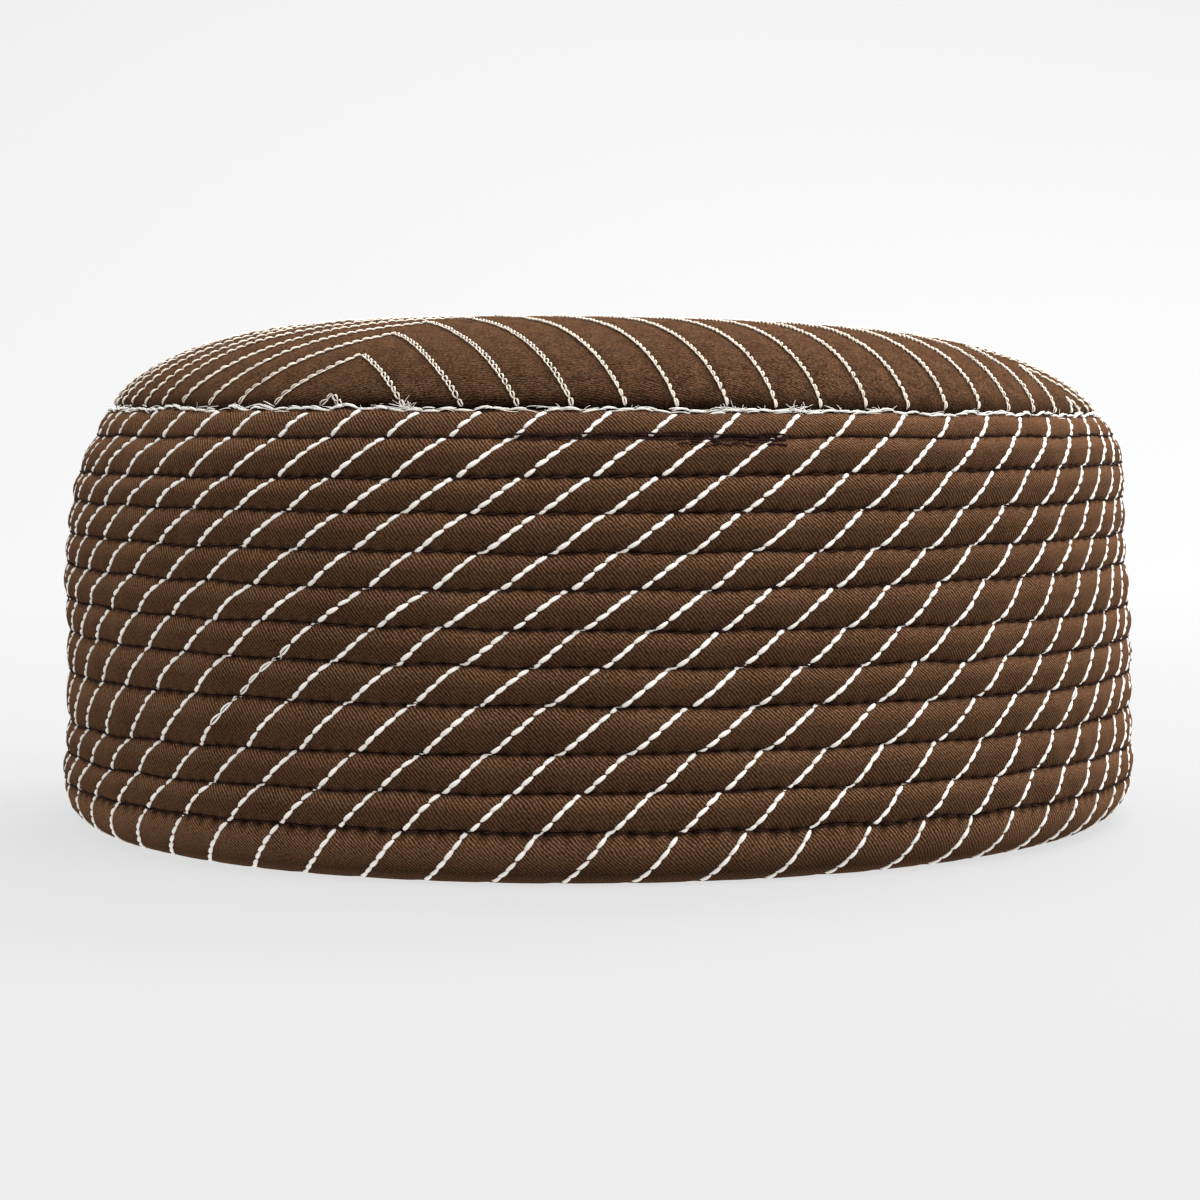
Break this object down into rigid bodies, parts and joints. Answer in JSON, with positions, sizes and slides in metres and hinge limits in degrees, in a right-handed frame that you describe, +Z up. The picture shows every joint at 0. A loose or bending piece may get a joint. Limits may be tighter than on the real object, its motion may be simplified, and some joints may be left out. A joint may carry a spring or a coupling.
{
  "type": "prayer cap",
  "caption": "Round quilted cotton prayer cap: a padded band sewn in level rows with slanting chain stitch, and a low padded crown sewn in nested chevrons.",
  "frame": {"origin": "centre of the rim's oval, at the level that the rim stands on", "axes": "+Z up through the crown, Y along the head from brow to nape with the side shown to the front facing -Y, X across the ears"},
  "size_m": [0.1792, 0.2082, 0.0833],
  "materials": {
    "brown_twill": "matte cotton twill, quilted",
    "white_thread": "matte cotton chain stitch",
    "dark_thread": "matte cotton lockstitch"
  },
  "bodies": {
    "root": {"band": "brown_twill", "crown": "brown_twill"}
  },
  "joints": []
}
